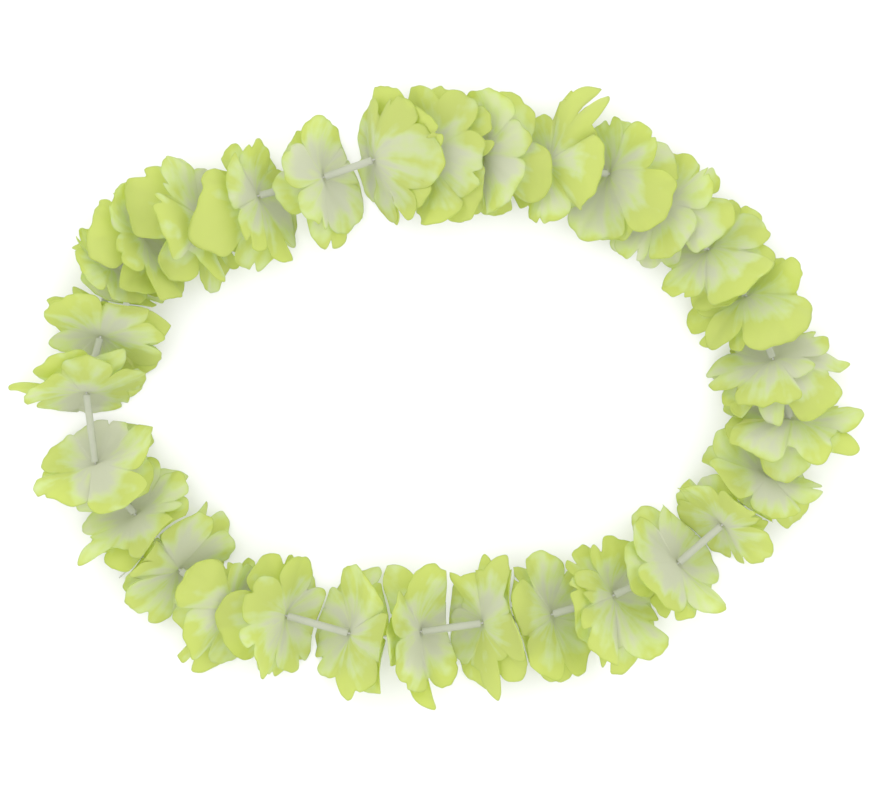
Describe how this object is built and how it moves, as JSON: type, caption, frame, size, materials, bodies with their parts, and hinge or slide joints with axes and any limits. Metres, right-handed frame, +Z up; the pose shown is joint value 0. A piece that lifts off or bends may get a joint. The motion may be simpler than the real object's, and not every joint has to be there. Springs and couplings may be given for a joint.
{
  "type": "artificial flower lei",
  "caption": "Closed loop of cut-cloth blooms in two petal layers, spaced by short straw tubes on one knotted string, laid down flat.",
  "frame": {"origin": "middle of the loop's outline, on the surface that the lei lies on", "axes": "+X along the loop's longest side, +Y towards its other side away from the tied ends, +Z up off the surface"},
  "size_m": [0.4521, 0.3357, 0.0541],
  "materials": {
    "petal_cloth": "thin matt cloth, whitish at the bloom's middle and yellow-green towards the petals' edges",
    "straw_plastic": "milky white, lets some light through",
    "string": "thin twisted white string"
  },
  "bodies": {
    "root": {"bloom_01": "petal_cloth", "bloom_02": "petal_cloth", "bloom_03": "petal_cloth", "bloom_04": "petal_cloth", "bloom_05": "petal_cloth", "bloom_06": "petal_cloth", "bloom_07": "petal_cloth", "bloom_08": "petal_cloth", "bloom_09": "petal_cloth", "bloom_10": "petal_cloth", "bloom_11": "petal_cloth", "bloom_12": "petal_cloth", "bloom_13": "petal_cloth", "bloom_14": "petal_cloth", "bloom_15": "petal_cloth", "bloom_16": "petal_cloth", "bloom_17": "petal_cloth", "bloom_18": "petal_cloth", "bloom_19": "petal_cloth", "bloom_20": "petal_cloth", "bloom_21": "petal_cloth", "bloom_22": "petal_cloth", "bloom_23": "petal_cloth", "bloom_24": "petal_cloth", "bloom_25": "petal_cloth", "bloom_26": "petal_cloth", "bloom_27": "petal_cloth", "bloom_28": "petal_cloth", "bloom_29": "petal_cloth", "bloom_30": "petal_cloth", "straw_01": "straw_plastic", "straw_02": "straw_plastic", "straw_03": "straw_plastic", "straw_04": "straw_plastic", "straw_05": "straw_plastic", "straw_06": "straw_plastic", "straw_07": "straw_plastic", "straw_08": "straw_plastic", "straw_09": "straw_plastic", "straw_10": "straw_plastic", "straw_11": "straw_plastic", "straw_12": "straw_plastic", "straw_13": "straw_plastic", "straw_14": "straw_plastic", "straw_15": "straw_plastic", "straw_16": "straw_plastic", "straw_17": "straw_plastic", "straw_18": "straw_plastic", "straw_19": "straw_plastic", "straw_20": "straw_plastic", "straw_21": "straw_plastic", "straw_22": "straw_plastic", "straw_23": "straw_plastic", "straw_24": "straw_plastic", "straw_25": "straw_plastic", "straw_26": "straw_plastic", "straw_27": "straw_plastic", "straw_28": "straw_plastic", "straw_30": "straw_plastic", "string": "string"}
  },
  "joints": []
}
